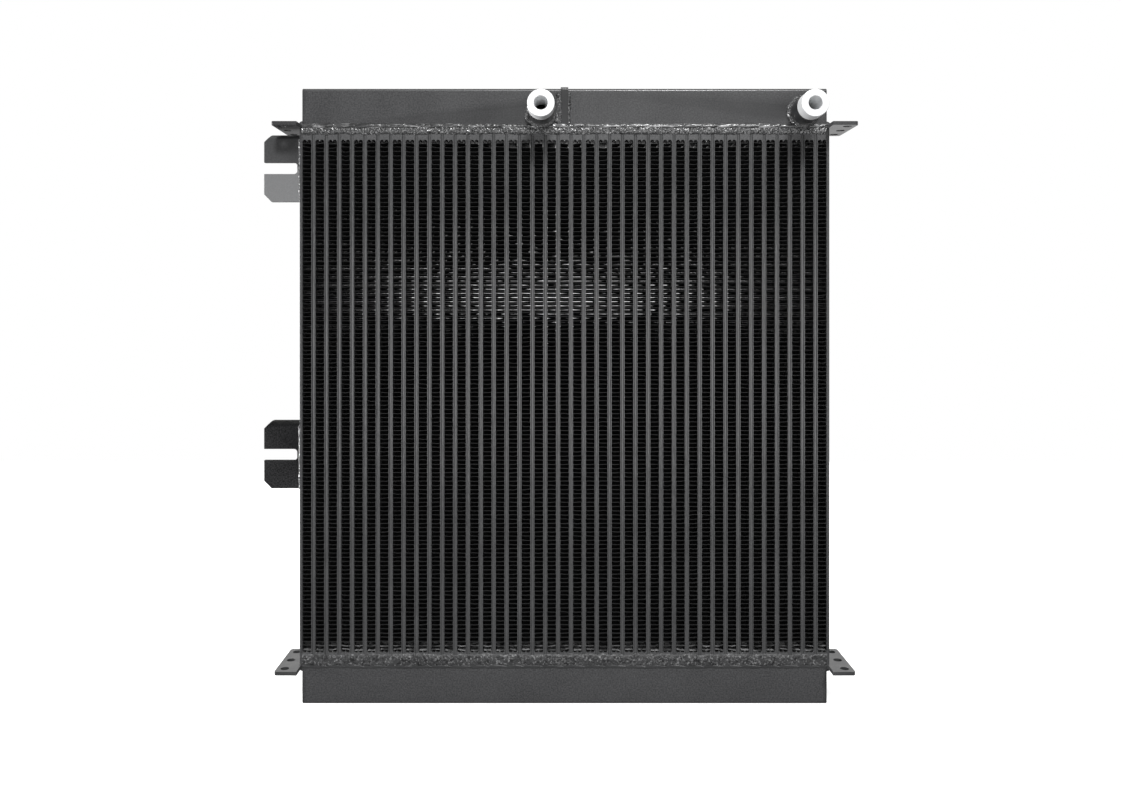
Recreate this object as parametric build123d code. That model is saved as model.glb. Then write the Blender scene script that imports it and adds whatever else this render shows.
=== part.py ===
from build123d import *
import math
import os

# Bar-and-plate hydraulic oil cooler, two passes side by side, all in millimetres.
# Frame: X across the core (+X to the outlet side), +Y along the air flow to the rear, +Z up.
# The origin is the centre of the bottom tank's underside; the ports look along -Y.

# ---- driving dimensions -------------------------------------------------------------
# core
oil_passages_per_pass = 20
air_gap = 9.5  # width of an air channel, which is also the height of its fin
oil_gap = 3.0  # width of an oil passage
sheet = 0.6  # parting sheet thickness
side_plate = 3.0
core_depth = 45.0
core_height = 568.5
oil_bar_depth = 6.0
air_bar_height = 13.7
groove_tooth = 0.4  # the edge left between the two half-round grooves of an air bar
fin_pitch = 9.0  # from one horizontal web of an air fin to the next
fin_thickness = 0.3
fin_end_gap = 1.0
turbulator_pitch = 3.2
turbulator_thickness = 0.25
turbulator_end_gap = 2.0

# tanks
tank_height = 43.2
tank_wall = 4.0
tank_corner = 3.0
tank_inset = 2.75  # how far a tank's end stands inside the core's side
divider_thickness = 8.0
divider_proud_front = 1.0
divider_proud_top = 1.5
divider_corner = 3.0

# ports
inlet_gap = 0.6  # between the bead around the inlet and the bead beside the divider
outlet_from_end = 25.1  # outlet axis to the end of the tank
port_height = 17.8  # port axis above the joint of core and tank
boss_radius = 14.0
boss_length = 30.0
boss_passage_radius = 8.0
thread_radius = 10.1
thread_depth = 20.0
thread_clearance = 0.1
spigot_length = 18.0
adapter_length = 20.0
adapter_radius = 14.0
adapter_bore_radius = 7.0
adapter_chamfer = 0.6

# corner tabs
tab_width = 23.5
top_tab_extra = 3.0  # the top tabs are this much wider, on their outer side
tab_front = 24.0  # how far a tab stands in front of the core
tab_thickness = 4.0
tab_hole_radius = 4.5
tab_hole_count = 3
tab_hole_spacing = 25.0
tab_hole_from_edge = 9.0
tab_corner = 3.0

# slotted side brackets
bracket_width = 39.35
bracket_height = 72.0
bracket_thickness = 5.0
bracket_setback = 5.0  # bracket web behind the core's front
bracket_flange_depth = 12.0
bracket_bend_radius = 5.0
bracket_chamfer = 8.0
slot_width = 12.0
slot_depth = 35.4
slot_corner = 3.5
upper_slot_drop = 41.2  # upper slot's middle below the top of the core
slot_spacing = 306.0

# weld beads
header_weld_up = 4.5
header_weld_down = 7.5
header_weld_proud = 3.0
port_weld_leg = 2.6
port_weld_length = 4.5
weld_gap = 0.3  # between a bead and a bead that crosses it
ring_gap = 0.05  # between a boss and the bead around it
tab_weld_leg = 4.0
bracket_weld_leg = 2.5
divider_weld_leg = 3.4
divider_weld_proud = 2.5
divider_weld_inset = 5.0  # from the tank's top edge down to the bead's upper end

# ---- sizes that follow --------------------------------------------------------------
oil_passages = 2 * oil_passages_per_pass
air_channels = oil_passages + 1
oil_cell = oil_gap + 2 * sheet
cell_pitch = air_gap + oil_cell
core_half_width = side_plate + (air_channels * air_gap + oil_passages * oil_cell) / 2
front = -core_depth / 2
rear = core_depth / 2
core_bottom = tank_height
core_top = core_bottom + core_height
total_height = core_top + tank_height
middle_height = total_height / 2
tank_half = core_half_width - tank_inset
shell_half = tank_half - tank_wall  # a tank's channel runs between its end caps
divider_half = divider_thickness / 2
port_z = core_top + port_height
port_weld_radius = boss_radius + port_weld_leg
inlet_x = -(divider_half + divider_weld_leg + inlet_gap + port_weld_radius)
outlet_x = tank_half - outlet_from_end
upper_slot_z = core_top - upper_slot_drop
lower_slot_z = upper_slot_z - slot_spacing
groove_offset = air_gap / 4  # from the air bar's middle to a groove's middle
groove_radius = groove_offset - groove_tooth / 2
middle = Plane.XY.offset(middle_height)


def block(x, y, z):
    """A box from pairs of limits."""
    size = Box(x[1] - x[0], y[1] - y[0], z[1] - z[0])
    return Pos((x[0] + x[1]) / 2, (y[0] + y[1]) / 2, (z[0] + z[1]) / 2) * size


def prism(corners, start, along):
    """A closed outline of 3-D corners, shifted by start and swept in a straight line."""
    face = Face(Wire.make_polygon([Vector(*c) for c in corners], close=True))
    return Pos(*start) * Solid.extrude(face, Vector(*along))


def write(name, *solids):
    """One STEP file for each sub-part; its name is the sub-part's name."""
    shape = solids[0] if len(solids) == 1 else Compound(list(solids))
    export_step(shape, f"parts/{name}.step")


def air_channel_x(index):
    """Left edge of an air channel, counted from the left."""
    return -core_half_width + side_plate + index * cell_pitch


def oil_passage_x(index):
    """Left edge of an oil passage, inside its two parting sheets."""
    return air_channel_x(index) + air_gap + sheet


def serpentine(count, pitch, height, thickness):
    """Outline (u, v) of a folded strip: webs along u, stacked by pitch along v."""
    crests = [thickness / 2, height - thickness / 2]
    path = [(crests[0], 0.0)]
    side = 0
    for i in range(count):
        side = 1 - side
        path.append((crests[side], i * pitch))
        if i < count - 1:
            path.append((crests[side], (i + 1) * pitch))
    left, right = [], []
    for k, (u, v) in enumerate(path):
        normal_u = normal_v = 0.0
        for a, b in ((k - 1, k), (k, k + 1)):
            if a < 0 or b >= len(path):
                continue
            du, dv = path[b][0] - path[a][0], path[b][1] - path[a][1]
            length = math.hypot(du, dv)
            normal_u -= dv / length
            normal_v += du / length
        left.append((u + normal_u * thickness / 2, v + normal_v * thickness / 2))
        right.append((u - normal_u * thickness / 2, v - normal_v * thickness / 2))
    return left + right[::-1]


# ---- core ---------------------------------------------------------------------------
def make_fin():
    """One air fin, folded up the height of a channel and as deep as the core."""
    room = core_height - 2 * air_bar_height - 2 * fin_end_gap
    webs = int((room - fin_thickness) / fin_pitch) + 1
    base = core_bottom + (core_height - (webs - 1) * fin_pitch) / 2
    outline = serpentine(webs, fin_pitch, air_gap, fin_thickness)
    return prism([(u, 0, v) for u, v in outline], (0, front, base), (0, core_depth, 0))


def make_turbulator():
    """One oil-side fin, folded across an oil passage; the oil runs along its webs."""
    room = core_depth - 2 * oil_bar_depth
    webs = int((room - turbulator_thickness) / turbulator_pitch) + 1
    start = -(webs - 1) * turbulator_pitch / 2
    outline = serpentine(webs, turbulator_pitch, oil_gap, turbulator_thickness)
    bottom = core_bottom + turbulator_end_gap
    length = core_height - 2 * turbulator_end_gap
    return prism([(u, v, 0) for u, v in outline], (0, start, bottom), (0, 0, length))


def make_air_bar():
    """One closing bar of an air channel, at the top, with two grooves facing the fin."""
    section = Pos(air_gap / 2, -air_bar_height / 2) * Rectangle(air_gap, air_bar_height)
    for side in (-1, 1):
        section -= Pos(air_gap / 2 + side * groove_offset, -air_bar_height) * Circle(groove_radius)
    plane = Plane(origin=(0, rear, core_top), x_dir=(1, 0, 0), z_dir=(0, -1, 0))
    return extrude(plane * section, core_depth)


def make_core():
    fin = make_fin()
    turbulator = make_turbulator()
    air_bar = make_air_bar().solid()
    core_z = (core_bottom, core_top)
    passes = {"left_pass": [], "right_pass": []}
    fins = {name: [] for name in passes}
    sheets = {name: [] for name in passes}
    turbulators = {name: [] for name in passes}
    front_bars, rear_bars, top_bars = [], [], []
    for i in range(air_channels):
        name = "left_pass" if i <= oil_passages_per_pass else "right_pass"
        x = air_channel_x(i)
        fins[name].append(Pos(x, 0, 0) * fin)
        top_bars.append(Pos(x, 0, 0) * air_bar)
    for i in range(oil_passages):
        name = "left_pass" if i < oil_passages_per_pass else "right_pass"
        x = oil_passage_x(i)
        turbulators[name].append(Pos(x, 0, 0) * turbulator)
        for sheet_x in (x - sheet, x + oil_gap):
            sheets[name].append(block((sheet_x, sheet_x + sheet), (front, rear), core_z))
        across = (x, x + oil_gap)
        front_bars.append(block(across, (front, front + oil_bar_depth), core_z))
        rear_bars.append(block(across, (rear - oil_bar_depth, rear), core_z))
    for name in passes:
        write(f"air_fins_{name}", *fins[name])
        write(f"parting_sheets_{name}", *sheets[name])
        write(f"turbulators_{name}", *turbulators[name])
    write("oil_bars_front", *front_bars)
    write("oil_bars_rear", *rear_bars)
    write("air_bars_top", *top_bars)
    write("air_bars_bottom", *[bar.mirror(middle) for bar in top_bars])
    inner = core_half_width - side_plate
    write("side_plate_left", block((-core_half_width, -inner), (front, rear), core_z))
    write("side_plate_right", block((inner, core_half_width), (front, rear), core_z))


# ---- tanks --------------------------------------------------------------------------
def tank_section(wall):
    """A tank's cross-section across Y and Z; wall 0 gives the solid end cap."""
    section = Pos(0, tank_height / 2) * Rectangle(core_depth, tank_height)
    section = fillet(section.vertices().group_by(Axis.Y)[-1], tank_corner)
    if wall:
        room = tank_height - wall
        section -= Pos(0, room / 2) * Rectangle(core_depth - 2 * wall, room)
    return section


def tank_run(x, wall):
    """A straight piece of the top tank between two x limits."""
    plane = Plane(origin=(x[0], 0, core_top), x_dir=(0, 1, 0), z_dir=(1, 0, 0))
    return extrude(plane * tank_section(wall), x[1] - x[0])


def port_hole(x):
    """The hole through the top tank's front wall behind a port."""
    return along_y(x, boss_passage_radius, front - 1, tank_wall + 2)


def along_y(x, radius, y, length):
    """A cylinder on a port's axis, from y backwards."""
    start = Plane(origin=(x, y, port_z), x_dir=(1, 0, 0), z_dir=(0, 1, 0))
    return extrude(start * Circle(radius), length)


def make_tanks():
    write("top_tank_left", tank_run((-shell_half, -divider_half), tank_wall) - port_hole(inlet_x))
    write("top_tank_right", tank_run((divider_half, shell_half), tank_wall) - port_hole(outlet_x))
    write("bottom_tank", tank_run((-shell_half, shell_half), tank_wall).mirror(middle))
    for side, x in (("left", (-tank_half, -shell_half)), ("right", (shell_half, tank_half))):
        cap = tank_run(x, 0)
        write(f"top_end_cap_{side}", cap)
        write(f"bottom_end_cap_{side}", cap.mirror(middle))
    rim_bottom = core_top + header_weld_up + weld_gap
    rim_top = total_height + divider_proud_top
    across = (-divider_half, divider_half)
    rim_y = (front - divider_proud_front, rear + divider_proud_front)
    divider = block(across, (front, rear), (core_top, rim_top)) + block(across, rim_y, (rim_bottom, rim_top))
    divider = fillet(divider.edges().filter_by(Axis.X).group_by(Axis.Z)[-1], divider_corner)
    write("tank_divider", divider)


# ---- ports --------------------------------------------------------------------------
def make_port(name, x):
    boss = along_y(x, boss_radius, front - boss_length, boss_length)
    boss -= along_y(x, boss_passage_radius, front - boss_length, boss_length)
    boss -= along_y(x, thread_radius, front - boss_length, thread_depth)
    write(f"{name}_boss", boss)
    face = front - boss_length - adapter_length
    adapter = along_y(x, adapter_radius, face, adapter_length)
    adapter += along_y(x, thread_radius - thread_clearance, face, adapter_length + spigot_length)
    adapter -= along_y(x, adapter_bore_radius, face, adapter_length + spigot_length)
    rims = adapter.edges().filter_by(GeomType.CIRCLE).group_by(Axis.Y)[0]
    write(f"{name}_adapter", chamfer(rims, adapter_chamfer))
    inner = boss_radius + ring_gap
    corners = [(inner, 0), (port_weld_radius, 0), (inner, port_weld_length)]
    ring = Face(Wire.make_polygon([Vector(x + r, front - out, port_z) for r, out in corners], close=True))
    write(f"{name}_weld", revolve(ring, Axis((x, 0, port_z), (0, 1, 0))))


# ---- fixings ------------------------------------------------------------------------
def make_tab(width):
    """The top right tab; the other three are its mirror images."""
    x = (tank_half, tank_half + width)
    tab = block(x, (front - tab_front, rear), (core_top, core_top + tab_thickness))
    outer = tab.edges().filter_by(Axis.Z).group_by(Axis.X)[-1]
    tab = fillet(outer, tab_corner)
    row_middle = (front - tab_front + rear) / 2
    for i in range(tab_hole_count):
        y = row_middle + (i - (tab_hole_count - 1) / 2) * tab_hole_spacing
        hole = Cylinder(tab_hole_radius, 2 * tab_thickness)
        tab -= Pos(x[1] - tab_hole_from_edge, y, core_top + tab_thickness / 2) * hole
    return tab.solid()


def make_tabs():
    top = core_top + tab_thickness
    corners = [(tank_half, 0, top), (tank_half + tab_weld_leg, 0, top), (tank_half, 0, top + tab_weld_leg)]
    bead = prism(corners, (0, front, 0), (0, core_depth, 0))
    top_tab = make_tab(tab_width + top_tab_extra)
    bottom_tab = make_tab(tab_width).mirror(middle)
    write("mounting_tab_top_right", top_tab)
    write("mounting_tab_top_left", top_tab.mirror(Plane.YZ))
    write("mounting_tab_bottom_right", bottom_tab)
    write("mounting_tab_bottom_left", bottom_tab.mirror(Plane.YZ))
    write("tab_weld_top_right", bead)
    write("tab_weld_top_left", bead.mirror(Plane.YZ))
    write("tab_weld_bottom_right", bead.mirror(middle))
    write("tab_weld_bottom_left", bead.mirror(Plane.YZ).mirror(middle))


def make_bracket(name, slot_z):
    inner = -core_half_width
    outer = inner - bracket_width
    web_front = front + bracket_setback
    top = slot_z + bracket_height / 2
    bottom = slot_z - bracket_height / 2
    web = block((outer, inner), (web_front, web_front + bracket_thickness), (bottom, top))
    flange_y = (web_front, web_front + bracket_flange_depth)
    flange = block((outer, inner), flange_y, (top - bracket_thickness, top))
    bracket = web + flange
    bend = bracket.edges().filter_by(Axis.X).group_by(Axis.Z)[-1].sort_by(Axis.Y)[0]
    bracket = fillet(bend, bracket_bend_radius)
    cut = bracket_chamfer
    corners = [
        [(outer, 0, bottom), (outer + cut, 0, bottom), (outer, 0, bottom + cut)],
        [(outer, 0, top), (outer + cut, 0, top), (outer, 0, top - cut)],
    ]
    for corner in corners:
        bracket -= prism(corner, (0, web_front, 0), (0, bracket_flange_depth, 0))
    slot_y = (web_front - 1, web_front + bracket_thickness + 1)
    slot_z_limits = (slot_z - slot_width / 2, slot_z + slot_width / 2)
    slot = block((outer - 1, outer + slot_depth), slot_y, slot_z_limits)
    inner_end = slot.edges().filter_by(Axis.Y).group_by(Axis.X)[-1]
    bracket -= fillet(inner_end, slot_corner)
    write(name, bracket.solid())
    leg = bracket_weld_leg
    inset = bracket_bend_radius
    corners = [(inner, web_front, 0), (inner - leg, web_front, 0), (inner, web_front - leg, 0)]
    write(f"{name}_weld", prism(corners, (0, 0, bottom), (0, 0, bracket_height - inset)))


# ---- weld beads along the tanks -----------------------------------------------------
def header_bead():
    """The front bead over the joint of core and top tank."""
    low = Vector(-tank_half, front, core_top - header_weld_down)
    high = Vector(-tank_half, front, core_top + header_weld_up)
    crown = Vector(-tank_half, front - header_weld_proud, (low.Z + high.Z) / 2)
    outline = Wire([Edge.make_line(low, high), Edge.make_three_point_arc(low, crown, high)])
    return Solid.extrude(Face(outline), Vector(2 * tank_half, 0, 0))


def make_header_welds():
    bead = header_bead()
    notched = bead
    for x in (inlet_x, outlet_x):
        reach = port_weld_length + header_weld_proud
        notched -= along_y(x, port_weld_radius + weld_gap, front - reach, reach)
    write("top_header_weld", notched.solid(), bead.mirror(Plane.XZ))
    lower = bead.mirror(middle)
    write("bottom_header_weld", lower, lower.mirror(Plane.XZ))


def make_divider_weld():
    bottom = core_top + header_weld_up + weld_gap
    height = total_height - divider_weld_inset - bottom
    leg, proud = divider_weld_leg, divider_weld_proud
    beads = []
    for y, out in ((front, -1), (rear, 1)):
        for side in (-1, 1):
            x = side * divider_half
            corners = [(x, y, 0), (x + side * leg, y, 0), (x, y + out * proud, 0)]
            beads.append(prism(corners, (0, 0, bottom), (0, 0, height)))
    write("divider_weld", *beads)


os.makedirs("parts", exist_ok=True)
make_core()
make_tanks()
make_port("inlet", inlet_x)
make_port("outlet", outlet_x)
make_tabs()
make_bracket("upper_bracket", upper_slot_z)
make_bracket("lower_bracket", lower_slot_z)
make_header_welds()
make_divider_weld()
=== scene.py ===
import itertools
import math

import bmesh
import bpy
import numpy as np
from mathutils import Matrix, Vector


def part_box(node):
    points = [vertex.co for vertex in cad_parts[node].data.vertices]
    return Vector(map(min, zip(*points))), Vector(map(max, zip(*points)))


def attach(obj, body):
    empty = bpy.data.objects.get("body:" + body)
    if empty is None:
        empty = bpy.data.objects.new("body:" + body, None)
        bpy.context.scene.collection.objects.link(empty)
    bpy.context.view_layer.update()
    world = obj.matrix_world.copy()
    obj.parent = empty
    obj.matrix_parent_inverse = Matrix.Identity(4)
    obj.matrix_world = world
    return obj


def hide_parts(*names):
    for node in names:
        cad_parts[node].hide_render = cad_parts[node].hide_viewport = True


# Looks of the bar-and-plate oil cooler. Everything is in metres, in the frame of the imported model:
# X across the core, -Y towards the viewer and the ports, +Z up, the floor at z = 0.

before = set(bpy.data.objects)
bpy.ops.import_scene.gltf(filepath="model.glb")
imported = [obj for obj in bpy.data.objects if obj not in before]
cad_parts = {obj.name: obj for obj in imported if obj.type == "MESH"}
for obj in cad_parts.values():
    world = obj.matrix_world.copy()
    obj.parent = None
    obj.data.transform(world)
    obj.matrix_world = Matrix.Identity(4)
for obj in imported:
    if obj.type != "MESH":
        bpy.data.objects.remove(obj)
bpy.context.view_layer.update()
MM = 0.001

# ---- the model's own sizes ----------------------------------------------------------
OIL_BARS = 40
AIR_CHANNELS = OIL_BARS + 1
LEFT_CHANNELS = 21
FIN_PIECES_PER_PASS = 3
SHEET = 0.6 * MM
OIL_GAP = 3.0 * MM
WEB_PITCH = 4.5 * MM  # the real strip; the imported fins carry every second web
FIN_THICKNESS = 0.28 * MM
FIN_BEND = 0.75 * MM
# the herringbone through a fin's depth: share of the depth, and which way the wave goes there
WAVE_STATIONS = ((0, 0), (0.05, 0), (0.2, -1), (0.4, 1), (0.6, -1), (0.8, 1), (0.95, 0), (1, 0))
WAVE_HEIGHT = 1.92 * MM  # half of a wave's height; a narrow see-through slit is left
FIN_TOP_GAP = 1.3 * MM  # between a strip's last web and the air bar above it
PORT_BORE = 7.0 * MM
PORT_RADIUS = 14.0 * MM
SPIGOT_RADIUS = 10.0 * MM  # the adapter's turned-down tail, which sits in the boss
PASSAGE_RADIUS = 8.0 * MM
SEAT_DEPTH = 20.0 * MM  # how deep the boss is bored out for the spigot

# ---- camera and light ---------------------------------------------------------------
CAMERA_AT = Vector((-0.0123, -1.0725, 0.4244))
LENS_MM = 31.65
SENSOR_MM = 36.0
SHIFT = (0.0076, -0.0819)
WORLD_IN_FRONT = 0.07
WORLD_BEHIND = 0.8
FLOOR_SIZE = 1.6


def add_camera():
    data = bpy.data.cameras.new("camera")
    data.lens = LENS_MM
    data.sensor_width = SENSOR_MM
    data.shift_x, data.shift_y = SHIFT
    camera = bpy.data.objects.new("camera", data)
    camera.location = CAMERA_AT
    camera.rotation_euler = (math.radians(90), 0, 0)
    bpy.context.scene.collection.objects.link(camera)
    bpy.context.scene.camera = camera


def add_area_light(name, location, target, size, power):
    data = bpy.data.lights.new(name, "AREA")
    data.shape = "RECTANGLE"
    data.size, data.size_y = size
    data.energy = power
    light = bpy.data.objects.new(name, data)
    light.location = location
    aim = Vector(target) - Vector(location)
    light.rotation_euler = aim.to_track_quat("-Z", "Y").to_euler()
    bpy.context.scene.collection.objects.link(light)


def add_sun(name, towards, strength, softness_deg):
    data = bpy.data.lights.new(name, "SUN")
    data.energy = strength
    data.angle = math.radians(softness_deg)
    sun = bpy.data.objects.new(name, data)
    sun.rotation_euler = Vector(towards).to_track_quat("-Z", "Y").to_euler()
    bpy.context.scene.collection.objects.link(sun)


def add_world():
    """A white backdrop, whose light is strongest from behind the object, as in a light tent."""
    world = bpy.data.worlds.new("white studio")
    world.use_nodes = True
    nodes, link = world.node_tree.nodes, world.node_tree.links.new
    place = nodes.new("ShaderNodeTexCoord")
    split = nodes.new("ShaderNodeSeparateXYZ")
    link(place.outputs["Generated"], split.inputs["Vector"])
    fade = nodes.new("ShaderNodeMapRange")
    fade.inputs["From Min"].default_value = -0.6
    fade.inputs["From Max"].default_value = 0.7
    fade.inputs["To Min"].default_value = WORLD_IN_FRONT
    fade.inputs["To Max"].default_value = WORLD_BEHIND
    link(split.outputs["Y"], fade.inputs["Value"])
    seen = nodes.new("ShaderNodeLightPath")
    lit = nodes.new("ShaderNodeMix")
    link(seen.outputs["Is Camera Ray"], lit.inputs["Factor"])
    link(fade.outputs["Result"], lit.inputs["A"])
    lit.inputs["B"].default_value = 1.0
    background = nodes["Background"]
    background.inputs["Color"].default_value = (1, 1, 1, 1)
    link(lit.outputs["Result"], background.inputs["Strength"])
    bpy.context.scene.world = world


def add_light():
    """A soft sun from the front, two soft lamps in front, and a card that lights the ports' left."""
    bpy.context.scene.view_settings.view_transform = "Standard"
    add_world()
    add_sun("sun", (-0.12, 0.74, -0.66), 2.1, 10)
    add_area_light("key", (0.2, -1.6, 1.8), (0.0, 0, 0.5), (0.7, 0.45), 11)
    add_area_light("low fill", (0.2, -1.9, 0.3), (0.05, 0, 0.5), (1.6, 0.7), 12.5)
    add_area_light("left card", (-1.7, -0.13, 0.3), (0.1, -0.05, 0.63), (0.12, 0.5), 31)


# ---- noise --------------------------------------------------------------------------
def smooth_noise(points, scale, seed):
    """Smooth noise from -1 to 1 at (n, 3) points, with features about scale across."""
    table = np.random.default_rng(seed).uniform(-1, 1, 4096)
    cell = np.asarray(points) / scale
    base = np.floor(cell).astype(np.int64)
    share = cell - base
    share = share * share * (3 - 2 * share)
    total = np.zeros(len(base))
    for corner in itertools.product((0, 1), repeat=3):
        at = (base + corner) * (73856093, 19349663, 83492791)
        index = (at[:, 0] ^ at[:, 1] ^ at[:, 2]) & 4095
        weight = np.where(corner, share, 1 - share).prod(1)
        total += weight * table[index]
    return total


def rough_noise(points, scale, seed, octaves=3):
    """Smooth noise with finer and weaker copies of itself added."""
    total = np.zeros(len(points))
    for k in range(octaves):
        total += smooth_noise(points, scale / 2**k, seed + k) / 2**k
    return total


# ---- mesh helpers -------------------------------------------------------------------
class Loft:
    """Collects lofted skins, each a closed ring carried through stations, into one mesh."""

    def __init__(self):
        self.points, self.faces, self.count = [], [], 0

    def skin(self, rings, caps=True, closed=False):
        """rings is (stations, around, 3); closed joins the last station to the first."""
        stations, around, _ = rings.shape
        index = np.arange(stations * around).reshape(stations, around) + self.count
        ahead = np.roll(index, -1, 0) if closed else index[1:]
        here = index if closed else index[:-1]
        quads = np.stack([here, np.roll(here, -1, 1), np.roll(ahead, -1, 1), ahead], -1)
        self.faces.extend(quads.reshape(-1, 4).tolist())
        if caps and not closed:
            self.faces.append(index[0, ::-1].tolist())
            self.faces.append(index[-1].tolist())
        self.points.append(rings.reshape(-1, 3))
        self.count += stations * around

    def strip(self, outer, inner):
        """A thin folded strip: outer and inner are (stations, along, 3)."""
        stations, along, _ = outer.shape
        n = stations * along
        out = np.arange(n).reshape(stations, along) + self.count
        inn = out + n
        quads = [
            np.stack([out[:-1, :-1], out[:-1, 1:], out[1:, 1:], out[1:, :-1]], -1),
            np.stack([inn[:-1, 1:], inn[:-1, :-1], inn[1:, :-1], inn[1:, 1:]], -1),
            np.stack([out[0, 1:], out[0, :-1], inn[0, :-1], inn[0, 1:]], -1),
            np.stack([out[-1, :-1], out[-1, 1:], inn[-1, 1:], inn[-1, :-1]], -1),
            np.stack([out[:-1, 0], out[1:, 0], inn[1:, 0], inn[:-1, 0]], -1),
            np.stack([out[1:, -1], out[:-1, -1], inn[:-1, -1], inn[1:, -1]], -1),
        ]
        for quad in quads:
            self.faces.extend(quad.reshape(-1, 4).tolist())
        self.points.extend([outer.reshape(-1, 3), inner.reshape(-1, 3)])
        self.count += 2 * n

    def mesh(self, name):
        mesh = bpy.data.meshes.new(name)
        mesh.from_pydata(np.concatenate(self.points).tolist(), [], self.faces)
        mesh.validate()
        return mesh


def outward(mesh):
    """Turns all normals outwards."""
    shape = bmesh.new()
    shape.from_mesh(mesh)
    bmesh.ops.recalc_face_normals(shape, faces=shape.faces)
    shape.to_mesh(mesh)
    shape.free()


def finish_piece(name, mesh, material, nodes, smooth_deg=40, weighted=False):
    """Makes an object of a mesh, gives it its finish, and hides the CAD nodes it stands for."""
    mesh.polygons.foreach_set("use_smooth", [True] * len(mesh.polygons))
    if smooth_deg is not None:
        mesh.set_sharp_from_angle(angle=math.radians(smooth_deg))
    mesh.materials.clear()
    mesh.materials.append(material)
    piece = bpy.data.objects.new(name, mesh)
    bpy.context.scene.collection.objects.link(piece)
    if weighted:
        keep_flat = piece.modifiers.new("flat faces", "WEIGHTED_NORMAL")
        keep_flat.keep_sharp = True
    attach(piece, "root")
    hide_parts(*nodes)
    return piece


def refined(node, material, bevel, segments=2, keep=None):
    """The node's own shape with its faces joined up and its edges rounded, apart from edges that
    keep(middle of the edge) says stay sharp because the next plate is flush with them."""
    shape = bmesh.new()
    shape.from_mesh(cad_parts[node].data)
    bmesh.ops.remove_doubles(shape, verts=shape.verts, dist=1e-6)
    flat = math.radians(1)
    bmesh.ops.dissolve_limit(shape, angle_limit=flat, verts=shape.verts, edges=shape.edges)
    sharp = [e for e in shape.edges if e.is_manifold and e.calc_face_angle(0) > math.radians(30)]
    if keep:
        sharp = [e for e in sharp if not keep((e.verts[0].co + e.verts[1].co) / 2)]
    bmesh.ops.bevel(
        shape, geom=sharp, offset=bevel, offset_type="OFFSET", segments=segments, profile=0.5,
        affect="EDGES", clamp_overlap=True, loop_slide=True,
    )
    bmesh.ops.recalc_face_normals(shape, faces=shape.faces)
    mesh = bpy.data.meshes.new(node + "_finished")
    shape.to_mesh(mesh)
    shape.free()
    return finish_piece(node + "_finished", mesh, material, [node], smooth_deg=50, weighted=True)


# ---- materials ----------------------------------------------------------------------
class Shader:
    """A small builder for node materials, in object coordinates."""

    def __init__(self, name):
        self.material = bpy.data.materials.new(name)
        self.material.use_nodes = True
        self.tree = self.material.node_tree
        self.nodes = self.tree.nodes
        self.surface = self.nodes["Principled BSDF"]
        self.place = self.nodes.new("ShaderNodeTexCoord").outputs["Object"]

    def link(self, a, b):
        self.tree.links.new(a, b)

    def noise(self, scale_mm, detail=3.0, roughness=0.5, stretch=None):
        node = self.nodes.new("ShaderNodeTexNoise")
        node.inputs["Scale"].default_value = 1000.0 / scale_mm
        node.inputs["Detail"].default_value = detail
        node.inputs["Roughness"].default_value = roughness
        source = self.place
        if stretch:
            mapping = self.nodes.new("ShaderNodeMapping")
            mapping.inputs["Scale"].default_value = stretch
            self.link(source, mapping.inputs["Vector"])
            source = mapping.outputs["Vector"]
        self.link(source, node.inputs["Vector"])
        return node.outputs["Fac"]

    def spread(self, value, low, high, to_low, to_high):
        node = self.nodes.new("ShaderNodeMapRange")
        node.inputs["From Min"].default_value = low
        node.inputs["From Max"].default_value = high
        node.inputs["To Min"].default_value = to_low
        node.inputs["To Max"].default_value = to_high
        self.link(value, node.inputs["Value"])
        return node.outputs["Result"]

    def math(self, operation, a, b):
        node = self.nodes.new("ShaderNodeMath")
        node.operation = operation
        for socket, value in zip(node.inputs, (a, b)):
            if isinstance(value, (int, float)):
                socket.default_value = value
            else:
                self.link(value, socket)
        return node.outputs["Value"]

    def blend(self, share, a, b):
        node = self.nodes.new("ShaderNodeMix")
        node.data_type = "RGBA"
        self.link(share, node.inputs["Factor"])
        for socket, value in zip((node.inputs["A"], node.inputs["B"]), (a, b)):
            if isinstance(value, tuple):
                socket.default_value = (*value, 1)
            else:
                self.link(value, socket)
        return node.outputs["Result"]

    def bump(self, height, depth_mm, strength=1.0, after=None):
        node = self.nodes.new("ShaderNodeBump")
        node.inputs["Distance"].default_value = depth_mm * MM
        node.inputs["Strength"].default_value = strength
        self.link(height, node.inputs["Height"])
        if after is not None:
            self.link(after, node.inputs["Normal"])
        return node.outputs["Normal"]

    def upward(self):
        """How far the surface faces up, from 0 to 1."""
        geometry = self.nodes.new("ShaderNodeNewGeometry")
        split = self.nodes.new("ShaderNodeSeparateXYZ")
        self.link(geometry.outputs["Normal"], split.inputs["Vector"])
        return self.spread(split.outputs["Z"], 0.3, 1.0, 0.0, 1.0)

    def height(self):
        """The height above the floor."""
        split = self.nodes.new("ShaderNodeSeparateXYZ")
        self.link(self.place, split.inputs["Vector"])
        return split.outputs["Z"]

    def worn_edge(self):
        """1 on sharp outer edges, 0 elsewhere."""
        geometry = self.nodes.new("ShaderNodeNewGeometry")
        return self.spread(geometry.outputs["Pointiness"], 0.52, 0.6, 0.0, 1.0)


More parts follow.
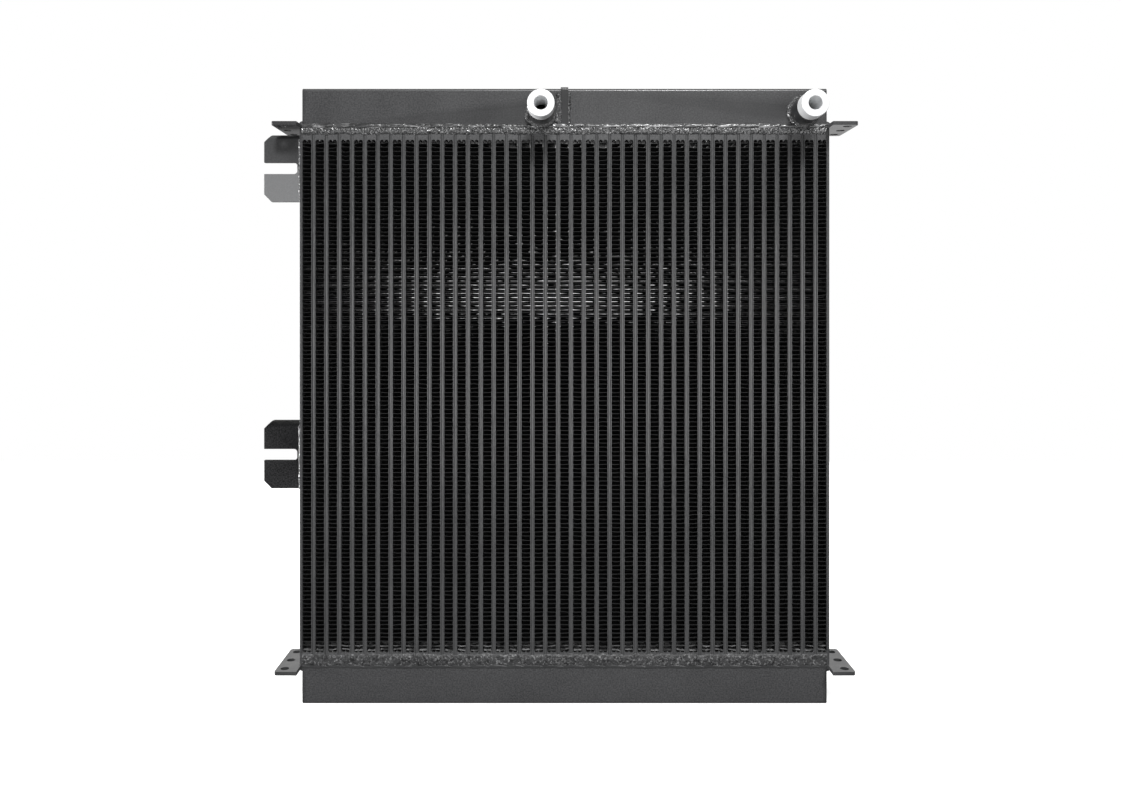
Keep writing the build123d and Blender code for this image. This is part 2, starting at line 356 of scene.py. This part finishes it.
def paint(name, colour, roughness, peel_mm, peel_depth_mm, wave_depth_mm=0.0, dust=0.12, coat=0.25,
          specular=0.5, painted_light_below=None, painted_highlight_below=None, highlight_flecks=0.0, fleck_mm=1.2, fleck_length=1.0):
    """Black paint with orange peel, a little dust on top faces, and uneven gloss. Below the height
    painted_light_below it is painted paler, a painted light, and below painted_highlight_below
    its top faces get pale spots, painted highlights.
    highlight_flecks is how strongly small pale spots are painted on as highlights, fleck_length times
    as long as they are high; with them come near-black spots, painted shade in pits."""
    s = Shader(name)
    patches = s.noise(38, detail=4)
    specks = s.noise(1.6, detail=2, roughness=0.7)
    lighter = tuple(1.25 * c + 0.002 for c in colour)
    base = s.blend(s.spread(patches, 0.35, 0.7, 0.0, 1.0), colour, lighter)
    edge = s.math("MULTIPLY", s.worn_edge(), s.spread(specks, 0.35, 0.65, 0.2, 0.9))
    base = s.blend(s.math("MULTIPLY", edge, 0.5), base, (0.16, 0.16, 0.165))
    settled = s.math("MULTIPLY", s.upward(), s.spread(s.noise(9, detail=5), 0.35, 0.75, 0.1, 1.0))
    base = s.blend(s.math("MULTIPLY", settled, dust), base, (0.42, 0.41, 0.39))
    # painted light: the paint is paler below the given height
    if painted_light_below:
        ragged = s.math("ADD", s.height(), s.spread(specks, 0, 1, -1.5 * MM, 1.5 * MM))
        share = s.spread(ragged, painted_light_below - 3 * MM, painted_light_below + 3 * MM, 1.0, 0.0)
        pale = s.blend(s.noise(0.9, detail=3), (0.14, 0.142, 0.145), (0.22, 0.222, 0.225))
        base = s.blend(share, base, pale)
    # painted highlight: pale spots on the upward faces low down
    if painted_highlight_below:
        low_down = s.spread(s.height(), painted_highlight_below - 4 * MM, painted_highlight_below, 1.0, 0.0)
        highlight_spots = s.spread(s.noise(9, detail=2), 0.42, 0.62, 0.1, 1.0)
        share = s.math("MULTIPLY", s.math("MULTIPLY", low_down, highlight_spots), s.upward())
        base = s.blend(share, base, (0.34, 0.342, 0.345))
    # painted highlights: small pale flecks; painted shade: near-black spots standing for pits
    if highlight_flecks:
        stretch = (1 / fleck_length, 1, 1)
        highlight_spots = s.noise(fleck_mm, detail=3, roughness=0.65, stretch=stretch)
        painted_shade_pits = s.noise(1.7 * fleck_mm, detail=2, stretch=stretch)
        base = s.blend(s.spread(painted_shade_pits, 0.36, 0.48, 0.75, 0.0), base, (0.004, 0.004, 0.0045))
        base = s.blend(s.spread(highlight_spots, 0.54, 0.66, 0.0, highlight_flecks), base, (0.42, 0.42, 0.425))
    s.link(base, s.surface.inputs["Base Color"])
    gloss = s.spread(patches, 0.3, 0.7, roughness - 0.03, roughness + 0.04)
    gloss = s.math("ADD", gloss, s.spread(specks, 0.3, 0.8, -0.003, 0.005))
    s.link(gloss, s.surface.inputs["Roughness"])
    s.surface.inputs["IOR"].default_value = 1.5
    s.surface.inputs["Specular IOR Level"].default_value = specular
    s.surface.inputs["Coat Weight"].default_value = coat
    s.surface.inputs["Coat Roughness"].default_value = 0.14
    normal = s.bump(s.noise(peel_mm, detail=2), peel_depth_mm)
    if wave_depth_mm:
        normal = s.bump(s.noise(26, detail=1), wave_depth_mm, after=normal)
    s.link(normal, s.surface.inputs["Normal"])
    return s.material


def turned_aluminium(name):
    """Bare machined aluminium, bright, with faint smears."""
    s = Shader(name)
    smear = s.noise(5, detail=4)
    base = s.blend(s.spread(smear, 0.3, 0.75, 0.0, 1.0), (0.93, 0.935, 0.94), (0.84, 0.85, 0.86))
    s.link(base, s.surface.inputs["Base Color"])
    s.surface.inputs["Metallic"].default_value = 0.35
    s.link(s.spread(smear, 0.3, 0.7, 0.42, 0.54), s.surface.inputs["Roughness"])
    s.link(s.bump(s.noise(0.5, detail=2), 0.01), s.surface.inputs["Normal"])
    return s.material


def strip_aluminium(name):
    """Mill-finish strip inside the oil passages."""
    s = Shader(name)
    grain = s.noise(2.0, detail=3, stretch=(1, 1, 0.1))
    base = s.blend(grain, (0.62, 0.62, 0.63), (0.78, 0.78, 0.79))
    s.link(base, s.surface.inputs["Base Color"])
    s.surface.inputs["Metallic"].default_value = 1.0
    s.link(s.spread(grain, 0.3, 0.7, 0.3, 0.45), s.surface.inputs["Roughness"])
    return s.material


def floor_material():
    """Pale studio paper."""
    s = Shader("studio floor")
    tone = s.blend(s.noise(400, detail=3), (0.90, 0.90, 0.895), (0.93, 0.93, 0.925))
    s.link(tone, s.surface.inputs["Base Color"])
    s.surface.inputs["Roughness"].default_value = 0.8
    s.surface.inputs["Emission Color"].default_value = (1, 1, 1, 1)
    s.surface.inputs["Emission Strength"].default_value = 0.6
    return s.material


TANK_PAINT = paint("tank paint", (0.0125, 0.0129, 0.0138), 0.38, 3.2, 0.002, wave_depth_mm=0.08)
CORE_PAINT = paint("core paint", (0.038, 0.0385, 0.0395), 0.36, 1.8, 0.012, dust=0.08)
BAR_PAINT = paint("bar paint", (0.058, 0.0585, 0.0595), 0.3, 1.6, 0.05, dust=0.05, coat=0.3)
SIDE_PAINT = paint("side plate paint", (0.012, 0.0125, 0.0135), 0.48, 1.8, 0.012, dust=0.08, coat=0.05)
# the pale spots on the lowest webs' top faces are painted highlights
FIN_PAINT = paint(
    "fin paint", (0.014, 0.0143, 0.0148), 0.48, 0.8, 0.01, dust=0.03, coat=0.0,
    painted_highlight_below=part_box("air_bars_bottom")[1].z + 8 * MM)
TAB_PAINT = paint("tab paint", (0.033, 0.0335, 0.0345), 0.33, 1.4, 0.008, wave_depth_mm=0.06)
# a darker copy of the tab paint, for the top left tab: painted shade
TAB_PAINT_WITH_PAINTED_SHADE = paint("tab paint with painted shade", (0.008, 0.0083, 0.009), 0.5, 1.4, 0.008, coat=0.0)
# the upper bracket's lower part is painted paler: painted light
UPPER_BRACKET_PAINT = paint(
    "upper bracket paint", (0.022, 0.0225, 0.0235), 0.42, 1.0, 0.01, coat=0.0,
    painted_light_below=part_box("upper_bracket")[0].z + 36 * MM)
LOWER_BRACKET_PAINT = paint(
    "lower bracket paint", (0.0008, 0.0009, 0.0011), 0.6, 1.2, 0.006, coat=0.0, specular=0.03)
# in these three weld paints the pale flecks are painted highlights and the near-black spots painted shade
WELD_PAINT = paint(
    "weld paint", (0.042, 0.0425, 0.0435), 0.3, 0.9, 0.08, dust=0.04, coat=0.4, highlight_flecks=0.75, fleck_mm=1.5)
STRAND_PAINT = paint(
    "strand paint", (0.05, 0.0505, 0.0515), 0.3, 1.2, 0.04, dust=0.04, coat=0.4, highlight_flecks=0.85, fleck_mm=2.6,
    fleck_length=7.0)
DULL_WELD_PAINT = paint(
    "dull weld paint", (0.034, 0.0345, 0.0355), 0.45, 0.9, 0.08, dust=0.02, coat=0.05, highlight_flecks=0.4,
    fleck_mm=2.4)
BARE_PORT = turned_aluminium("turned aluminium")
BARE_STRIP = strip_aluminium("mill finish strip")


# ---- core ---------------------------------------------------------------------------
def core_layout():
    """Left edge of each air channel and oil passage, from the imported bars."""
    low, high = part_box("oil_bars_front")
    pitch = (high.x - low.x - OIL_GAP) / (OIL_BARS - 1)
    air_gap = pitch - OIL_GAP - 2 * SHEET
    oil_x = [low.x + i * pitch for i in range(OIL_BARS)]
    air_x = [x - SHEET - air_gap for x in oil_x] + [oil_x[-1] + OIL_GAP + SHEET]
    return oil_x, air_x, air_gap


def fin_centre_line(left, width, z_low, z_high, random):
    """Points (x, z) up one folded strip, which points are in the middle of a web, each point's
    web number, and the strip's normals."""
    webs = int(round((z_high - z_low) / WEB_PITCH)) + 1
    z_first, z_last = z_low + FIN_THICKNESS, z_high - FIN_TOP_GAP
    heights = np.linspace(z_first, z_last, webs) + random.normal(0, 0.05 * MM, webs)
    tilt = random.normal(0, 0.12 * MM, webs)
    for k in range(3):
        # the webs next to the bars were pushed about when the core was stacked
        spread = (0.5 - 0.12 * k) * MM
        for i in (k, webs - 1 - k):
            heights[i] += random.normal(0, spread)
            tilt[i] += random.normal(0, 0.6 * spread)
    crest = (left + FIN_THICKNESS / 2, left + width - FIN_THICKNESS / 2)
    bend, near = FIN_BEND, 0.3 * FIN_BEND
    points = []
    for i, z in enumerate(heights):
        start, end = crest[i % 2], crest[1 - i % 2]
        way = 1 if end > start else -1
        z_start, z_end = z - tilt[i], z + tilt[i]
        if i > 0:
            points += [(start, z_start - bend, 0, i), (start + way * near, z_start - near, 0, i)]
        points.append((start + way * bend, z_start, 0, i))
        points.append(((start + end) / 2, z, 1, i))
        points.append((end - way * bend, z_end, 0, i))
        if i < webs - 1:
            points += [(end - way * near, z_end + near, 0, i), (end, z_end + bend, 0, i)]
    points = np.array(points)
    line = points[:, :2]
    step = np.gradient(line, axis=0)
    step /= np.linalg.norm(step, axis=1)[:, None]
    return line, points[:, 2], points[:, 3].astype(int), np.stack([-step[:, 1], step[:, 0]], 1)


def add_fin(loft, left, width, front, rear, z_low, z_high, random):
    """One folded strip, carried through the depth of the core along its waves."""
    line, middle, web, normal = fin_centre_line(left, width, z_low, z_high, random)
    share, way = np.array(WAVE_STATIONS).T
    stations = len(share)
    room = np.minimum(line[:, 1] - z_low, z_high - line[:, 1]) - 0.5 * MM
    webs = web.max() + 1
    height = WAVE_HEIGHT * (1 + random.normal(0, 0.02, (stations, webs)))[:, web]
    height = np.minimum(height, np.clip(room, 0.05 * MM, None))
    sag = middle * random.normal(-0.1 * MM, 0.2 * MM, webs)[web] * np.exp(-3 * share)[:, None]
    knocked = np.zeros(webs)  # how far the lowest webs are bent down at the front
    knocked[1:3] = np.abs(random.normal(0, 0.3 * MM, 2))
    sag -= middle * np.minimum(knocked[web], np.clip(room, 0, None)) * np.exp(-9 * share)[:, None]
    sides = []
    for side in (0.5, -0.5):
        ring = np.zeros((stations, len(line), 3))
        ring[:, :, 0] = line[:, 0] + side * FIN_THICKNESS * normal[:, 0]
        ring[:, :, 1] = (front + share * (rear - front))[:, None]
        ring[:, :, 2] = line[:, 1] + side * FIN_THICKNESS * normal[:, 1] + way[:, None] * height + sag
        ring[:, :, 0] = np.clip(ring[:, :, 0], left + 0.01 * MM, left + width - 0.01 * MM)
        sides.append(ring)
    loft.strip(sides[1], sides[0])


def make_fins():
    """All the strips, as a few pieces to each pass."""
    _, air_x, air_gap = core_layout()
    for name, channels in (
        ("air_fins_left_pass", range(LEFT_CHANNELS)),
        ("air_fins_right_pass", range(LEFT_CHANNELS, AIR_CHANNELS)),
    ):
        low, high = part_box(name)
        z_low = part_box("air_bars_bottom")[1].z + 0.1 * MM
        z_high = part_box("air_bars_top")[0].z - 0.1 * MM
        for part, group in enumerate(np.array_split(list(channels), FIN_PIECES_PER_PASS)):
            loft = Loft()
            for channel in group:
                random = np.random.default_rng(1000 + int(channel))
                add_fin(loft, air_x[channel], air_gap, low.y, high.y, z_low, z_high, random)
            mesh = loft.mesh(f"{name}_{part + 1}")
            finish_piece(f"{name}_{part + 1}", mesh, FIN_PAINT, [name], smooth_deg=35)


def make_oil_bars():
    """Bars with slightly uneven, rounded faces, as drawn bar stock has after brazing."""
    oil_x, _, _ = core_layout()
    for name, outward_y, seed in (("oil_bars_front", -1, 50), ("oil_bars_rear", 1, 60)):
        low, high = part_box(name)
        face, back = (low.y, high.y) if outward_y < 0 else (high.y, low.y)
        loft = Loft()
        stations = np.linspace(low.z, high.z, 220)
        for i, x in enumerate(oil_x):
            across = np.array([0, 0, 0.45, 1.5, 2.55, 3.0, 3.0]) * MM
            sunk = np.array([6.0, 0.8, 0.22, 0.0, 0.22, 0.8, 6.0]) * MM
            ring = np.zeros((len(stations), len(across), 3))
            ring[:, :, 0] = x + across
            ring[:, :, 1] = face - outward_y * sunk
            ring[:, :, 2] = stations[:, None]
            points = ring.reshape(-1, 3)
            uneven = rough_noise(points * (1, 1, 0.35), 2.6 * MM, seed + i).reshape(ring.shape[:2])
            sideways = smooth_noise(points + 1, 9 * MM, seed + i).reshape(ring.shape[:2])
            ring[:, 1:-1, 1] -= outward_y * (0.2 * MM + 0.17 * MM * uneven[:, 1:-1])
            ring[:, 1:-1, 0] += 0.1 * MM * sideways[:, 1:-1]
            loft.skin(ring)
        mesh = loft.mesh(name + "_finished")
        outward(mesh)
        finish_piece(name + "_finished", mesh, BAR_PAINT, [name], smooth_deg=60)


def make_core():
    """The brazed block: fins, bars, sheets, turbulators and side plates."""
    make_fins()
    make_oil_bars()
    for name in ("parting_sheets_left_pass", "parting_sheets_right_pass"):
        keep_node(name, CORE_PAINT)
    for name in ("turbulators_left_pass", "turbulators_right_pass"):
        keep_node(name, BARE_STRIP)
    for name in ("air_bars_top", "air_bars_bottom"):
        refined(name, CORE_PAINT, 0.12 * MM, segments=1)
    for name in ("side_plate_left", "side_plate_right"):
        refined(name, SIDE_PAINT, 0.5 * MM)


def keep_node(node, material):
    """A CAD node whose shape is right keeps it and gets its finish."""
    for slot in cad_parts[node].material_slots:
        slot.material = material


# ---- weld beads ---------------------------------------------------------------------
def outline_normals(section, points):
    """Unit normals of an open outline, on the left of its run."""
    step = np.gradient(section, axis=points)
    step /= np.linalg.norm(step, axis=1)[:, None] + 1e-12
    return np.stack([step[:, 1], -step[:, 0]], 1)


def weld_bead(path, first, second, section, root, seed, pool_mm=5.0, pool=0.25, rough=0.3,
              rough_mm=1.6, stray=0.12, lean=0.0):
    """A bead laid along path. section holds (along first, along second) from one foot over the
    crown to the other, and root is a point inside the joint. pool is the depth of the overlapping
    pools and rough that of the lumps, both in mm; stray is how far the feet wander, and lean
    slants the pools along the bead."""
    stations, around = len(path), len(section)
    run = np.concatenate([[0], np.cumsum(np.linalg.norm(np.diff(path, axis=0), axis=1))])
    out = outline_normals(section, 0)
    middle = section.mean(0)
    if ((section - middle) * out).sum() < 0:
        out = -out
    lane = np.stack([run * 0, run * 0, run], 1)
    wander = 1 + stray * rough_noise(lane + 0.5, 7 * MM, seed + 3)
    over = np.linspace(0, 1, around)
    hold = 0.35 + 0.65 * np.sin(math.pi * over)  # the feet move less than the crown
    bow = 0.8 * (1 - (2 * over - 1) ** 2) + lean * over
    phase = (run / (pool_mm * MM) + 0.3 * smooth_noise(lane, 3 * pool_mm * MM, seed + 7))[:, None] - bow
    tide = (phase % 1.0) ** 0.6 - 0.6

    def place(uv):
        return path[:, None] + first[:, None] * uv[..., 0, None] + second[:, None] * uv[..., 1, None]

    uv = section[None] * wander[:, None, None]
    flat = place(uv).reshape(-1, 3)
    lumps = rough_noise(flat, rough_mm * MM, seed).reshape(stations, around)
    slow = smooth_noise(flat, 8 * MM, seed + 11).reshape(stations, around)
    patchy = (0.62 + 0.38 * rough_noise(lane + 0.9, 24 * MM, seed + 5, 2))[:, None]
    push = MM * (pool * tide + patchy * rough * lumps + 0.7 * rough * slow) * hold
    uv = uv + out[None] * push[..., None]
    rings = place(uv)
    inside = place(np.tile(np.array(root, float), (stations, 1, 1)))
    return np.concatenate([rings, inside], 1)


def corner_section(leg_a, leg_b, points=9, fullness=1.15):
    """A bead in a corner, from leg_a out along one face to leg_b up the other."""
    t = np.linspace(0, math.pi / 2, points)
    return np.stack([leg_a * np.cos(t) ** fullness, leg_b * np.sin(t) ** fullness], 1)


def resampled(points, count):
    """The same outline with evenly spaced points, its corners softened."""
    points = np.array(points, float)
    for _ in range(2):
        near, far = 0.75 * points[:-1] + 0.25 * points[1:], 0.25 * points[:-1] + 0.75 * points[1:]
        points = np.concatenate([points[:1], np.stack([near, far], 1).reshape(-1, 2), points[-1:]])
    run = np.concatenate([[0], np.cumsum(np.linalg.norm(np.diff(points, axis=0), axis=1))])
    at = np.linspace(0, run[-1], count)
    return np.stack([np.interp(at, run, points[:, k]) for k in (0, 1)], 1)


def straight(start, end, step_mm):
    """Points along a straight line, about step_mm apart."""
    start, end = np.array(start, float), np.array(end, float)
    count = max(2, int(np.linalg.norm(end - start) / (step_mm * MM)) + 1)
    return start + np.linspace(0, 1, count)[:, None] * (end - start)


def along(direction, path):
    """The same direction at each point of a path."""
    return np.tile(np.array(direction, float), (len(path), 1))


def finish_weld(name, loft, material=None, part="finished"):
    low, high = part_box(name)
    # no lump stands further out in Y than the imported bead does
    least, most = (-np.inf, low.y, -np.inf), (np.inf, high.y, np.inf)
    loft.points = [np.clip(points, least, most) for points in loft.points]
    mesh = loft.mesh(f"{name}_{part}")
    outward(mesh)
    finish_piece(f"{name}_{part}", mesh, material or WELD_PAINT, [name], smooth_deg=80)


def make_header_welds():
    """Each side has a broad rough bead over the joint, with a smoother one along the tank. The
    lower one was laid flatter, and runs further up the core."""
    core_low, core_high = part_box("side_plate_left")
    for node, joint_z, up, height, spread, rough, crown in (
        ("top_header_weld", core_high.z, 1, 0.55, 0.8, 0.62, 0.8),
        ("bottom_header_weld", core_low.z, -1, 0.26, 1.3, 0.5, 0.2),
    ):
        low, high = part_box(node)
        tank = abs((high.z if up > 0 else low.z) - joint_z) + 0.6 * MM
        core = abs((low.z if up > 0 else high.z) - joint_z) * spread
        proud = core_low.y - low.y
        tall = height * proud
        broad = resampled(
            [(0.5 * tank, 0), (0.4 * tank, 0.8 * tall), (0, tall), (-0.5 * core, tall),
             (-0.85 * core, 0.6 * tall), (-core, 0)], 19)
        narrow = resampled(
            [(1.1 * tank, 0), (1.05 * tank, 0.45 * crown * proud), (0.8 * tank, crown * proud),
             (0.4 * tank, crown * proud), (0.12 * tank, 0.6 * crown * proud), (0.1 * tank, 0)], 13)
        loft, strand = Loft(), Loft()
        for y, out, seed in ((core_low.y, -1, 100), (core_high.y, 1, 200)):
            seed += 0 if up > 0 else 300
            path = straight((low.x, y, joint_z), (high.x, y, joint_z), 0.5)
            first, second = along((0, 0, up), path), along((0, out, 0), path)
            inside = (0, -0.6 * MM)
            loft.skin(weld_bead(path, first, second, broad, inside, seed, 4.2, 0.2, rough, 1.5, 0.13))
            inside = (0.6 * tank, -0.6 * MM)
            strand.skin(weld_bead(
                path, first, second, narrow, inside, seed + 20, 21.0, 1.1 * crown, 0.16, 3.5, 0.12,
                lean=-0.9))
        finish_weld(node, loft, WELD_PAINT if up > 0 else DULL_WELD_PAINT)
        finish_weld(node, strand, STRAND_PAINT if up > 0 else CORE_PAINT, "strand")


def make_port_welds():
    """A rough ring round the foot of each boss, whose end is blended into its start."""
    for name in ("inlet", "outlet"):
        low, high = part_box(f"{name}_weld")
        leg = (high.x - low.x) / 2 - PORT_RADIUS
        turn = np.linspace(0, 2 * math.pi, 241)
        radial = np.stack([np.cos(turn), turn * 0, np.sin(turn)], 1)
        centre = np.array([(low.x + high.x) / 2, high.y, (low.z + high.z) / 2])
        path = centre + radial * (PORT_RADIUS - 0.2 * MM)
        forward = along((0, -1, 0), path)
        section = corner_section(leg + 1.6 * MM, (high.y - low.y) + 1.2 * MM, points=17)
        seed = 400 if name == "inlet" else 430
        rings = weld_bead(
            path, radial, forward, section, (-0.3 * MM, -0.3 * MM), seed, 6.5, 0.7, 0.8, 2.0, 0.2)
        blend = np.linspace(0, 1, 30)[:, None, None]
        rings[-30:] = rings[-30:] * (1 - blend) + rings[0] * blend
        loft = Loft()
        loft.skin(rings[:-1], closed=True)
        finish_weld(f"{name}_weld", loft)


def corner_bead(name, start, end, first, second, legs, seed):
    """A straight bead in a corner, with its feet along first and second."""
    path = straight(start, end, 0.5)
    first, second = along(first, path), along(second, path)
    section, inside = corner_section(*legs), (-0.3 * MM, -0.3 * MM)
    rings = weld_bead(path, first, second, section, inside, seed, 4.5, 0.3, 0.45, 1.8)
    loft = Loft()
    loft.skin(rings)
    finish_weld(name, loft)


def make_small_welds():
    """The beads that hold the tabs, the brackets and the divider."""
    seed = 500
    for level, up in (("top", 1), ("bottom", -1)):
        for side, out in (("left", -1), ("right", 1)):
            name = f"tab_weld_{level}_{side}"
            low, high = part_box(name)
            x = low.x if out > 0 else high.x
            z = low.z if up > 0 else high.z
            legs = (high.x - low.x, high.z - low.z)
            corner_bead(name, (x, low.y, z), (x, high.y, z), (out, 0, 0), (0, 0, up), legs, seed)
            seed += 10
    for name in ("upper_bracket_weld", "lower_bracket_weld"):
        low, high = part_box(name)
        legs = (high.x - low.x, high.y - low.y)
        start, end = (high.x, high.y, low.z), (high.x, high.y, high.z)
        corner_bead(name, start, end, (-1, 0, 0), (0, -1, 0), legs, seed)
        seed += 10
    make_divider_weld(seed)


def make_divider_weld(seed):
    """A bead down each side of the divider, the left one broad and rough."""
    low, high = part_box("divider_weld")
    plate_low, plate_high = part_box("tank_divider")
    core_low, core_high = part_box("side_plate_left")
    reach, depth = plate_low.x - low.x, high.y - core_high.y
    loft = Loft()
    for y, out in ((core_low.y, -1), (core_high.y, 1)):
        for x, side, strong, rough in ((plate_low.x, -1, 1.5, 0.7), (plate_high.x, 1, 0.8, 0.4)):
            path = straight((x, y, low.z), (x, y, high.z), 0.45)
            section = corner_section(reach * strong, depth * strong)
            rings = weld_bead(
                path, along((side, 0, 0), path), along((0, out, 0), path), section,
                (-0.3 * MM, -0.3 * MM), seed, 4.0, 0.3, rough, 1.5, 0.25)
            loft.skin(rings)
            seed += 10
        # the rough patch that joins this bead to the ring round the inlet
        x = plate_low.x - 1.5 * MM
        path = straight((x, y, low.z + 3 * MM), (x, y, high.z - 9 * MM), 0.45)
        first, second = along((-1, 0, 0), path), along((0, out, 0), path)
        outline = ((7.5, 0), (4, 2), (0, 2.3), (-2.5, 1.4), (-3, 0))
        patch = resampled([(a * MM, b * MM) for a, b in outline], 15)
        loft.skin(weld_bead(path, first, second, patch, (0, -0.4 * MM), seed, 4.0, 0.3, 0.45, 1.8))
    finish_weld("divider_weld", loft)


# ---- ports --------------------------------------------------------------------------
def turned(name, centre, profile, material, node):
    """A turned piece: profile holds (radius, y) points, and the last joins the first."""
    turn = np.linspace(0, 2 * math.pi, 129)[:-1]
    rings = np.zeros((len(turn), len(profile), 3))
    radius, depth = np.array(profile).T
    rings[:, :, 0] = centre.x + np.outer(np.cos(turn), radius)
    rings[:, :, 1] = depth
    rings[:, :, 2] = centre.z + np.outer(np.sin(turn), radius)
    loft = Loft()
    loft.skin(rings, closed=True)
    mesh = loft.mesh(name)
    outward(mesh)
    finish_piece(name, mesh, material, [node], smooth_deg=28)


def rounded(radius, y, size, steps=4):
    """Points round an outer corner at (radius, y), arriving along the face."""
    t = np.linspace(0, math.pi / 2, steps)
    return [(radius - size + size * math.sin(a), y + size - size * math.cos(a)) for a in t]


def make_ports():
    """Each port is a bare turned adapter in a painted boss, whose oil passage is bare too."""
    for name in ("inlet", "outlet"):
        low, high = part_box(f"{name}_adapter")
        boss_low, boss_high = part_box(f"{name}_boss")
        centre = (low + high) / 2
        face, shoulder, tail, base = low.y, boss_low.y, high.y, boss_high.y
        grooves = []
        for r in np.arange(PORT_BORE + 0.9 * MM, PORT_RADIUS - 1.0 * MM, 0.25 * MM):
            deep = 0.012 * MM if len(grooves) % 2 else 0.0
            grooves.append((r, face + deep))
        lathe_marks = []
        for y in np.arange(face + 1.2 * MM, shoulder - 0.5 * MM, 0.3 * MM):
            deep = 0.012 * MM if len(lathe_marks) % 2 else 0.0
            lathe_marks.append((PORT_RADIUS - deep, y))
        profile = [(PORT_BORE, face + 0.7 * MM), (PORT_BORE + 0.15 * MM, face + 0.25 * MM)]
        profile += [(PORT_BORE + 0.6 * MM, face)] + grooves
        profile += rounded(PORT_RADIUS, face, 0.7 * MM) + lathe_marks
        profile += [(PORT_RADIUS - 0.2 * MM, shoulder - 0.05 * MM), (PORT_RADIUS - 0.6 * MM, shoulder)]
        profile += [(SPIGOT_RADIUS, shoulder), (SPIGOT_RADIUS, tail), (PORT_BORE, tail)]
        turned(f"{name}_adapter_turned", centre, profile, BARE_PORT, f"{name}_adapter")
        seat, seat_end = SPIGOT_RADIUS + 0.1 * MM, shoulder + SEAT_DEPTH
        edge = 0.5 * MM
        profile = [(seat, shoulder + 0.02 * MM), (PORT_RADIUS - edge, shoulder + 0.02 * MM)]
        profile += [(PORT_RADIUS - 0.15 * MM, shoulder + 0.17 * MM), (PORT_RADIUS, shoulder + edge)]
        profile += [(PORT_RADIUS, y) for y in np.linspace(shoulder + 2 * MM, base, 12)]
        profile += [(PASSAGE_RADIUS, base), (PASSAGE_RADIUS, seat_end), (seat, seat_end)]
        turned(f"{name}_boss_turned", centre, profile, TANK_PAINT, f"{name}_boss")
        inner, outer = PASSAGE_RADIUS - 0.1 * MM, PASSAGE_RADIUS - 0.01 * MM
        profile = [(inner, y) for y in np.linspace(seat_end, base, 8)]
        profile += [(outer, base), (outer, seat_end)]
        turned(f"{name}_boss_passage", centre, profile, BARE_PORT, f"{name}_boss")


# ---- tanks and fixings --------------------------------------------------------------
def make_tanks():
    """The joints between a tank and its end caps are ground flush, so they stay sharp."""
    for name in ("top_tank_left", "top_tank_right", "bottom_tank"):
        low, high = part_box(name)
        ends = (low.x, high.x)
        refined(name, TANK_PAINT, 0.35 * MM, keep=lambda p: min(abs(p.x - x) for x in ends) < 1e-5)
    for level, side in itertools.product(("top", "bottom"), ("left", "right")):
        name = f"{level}_end_cap_{side}"
        low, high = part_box(name)
        inner = high.x if side == "left" else low.x
        refined(name, TANK_PAINT, 0.5 * MM, keep=lambda p: abs(p.x - inner) < 1e-5)
    refined("tank_divider", TANK_PAINT, 2.2 * MM, segments=6)


def make_fixings():
    """Tabs and brackets. The top left tab has a darker copy of the tab paint, which is painted shade. The
    lower bracket has the darkest paint.
    """
    for level, side in itertools.product(("top", "bottom"), ("left", "right")):
        shade_painted = (level, side) == ("top", "left")
        refined(f"mounting_tab_{level}_{side}", TAB_PAINT_WITH_PAINTED_SHADE if shade_painted else TAB_PAINT, 0.45 * MM)
    refined("upper_bracket", UPPER_BRACKET_PAINT, 0.5 * MM)
    refined("lower_bracket", LOWER_BRACKET_PAINT, 0.5 * MM)


def make_floor():
    """A pale floor, which neither shades nor lights the object."""
    shape = bmesh.new()
    bmesh.ops.create_grid(shape, x_segments=8, y_segments=8, size=FLOOR_SIZE)
    mesh = bpy.data.meshes.new("floor")
    shape.to_mesh(mesh)
    shape.free()
    mesh.materials.append(floor_material())
    floor = bpy.data.objects.new("floor", mesh)
    bpy.context.scene.collection.objects.link(floor)
    floor.visible_diffuse = False
    floor.visible_glossy = False


add_camera()
add_light()
make_floor()
make_core()
make_tanks()
make_ports()
make_fixings()
make_header_welds()
make_port_welds()
make_small_welds()
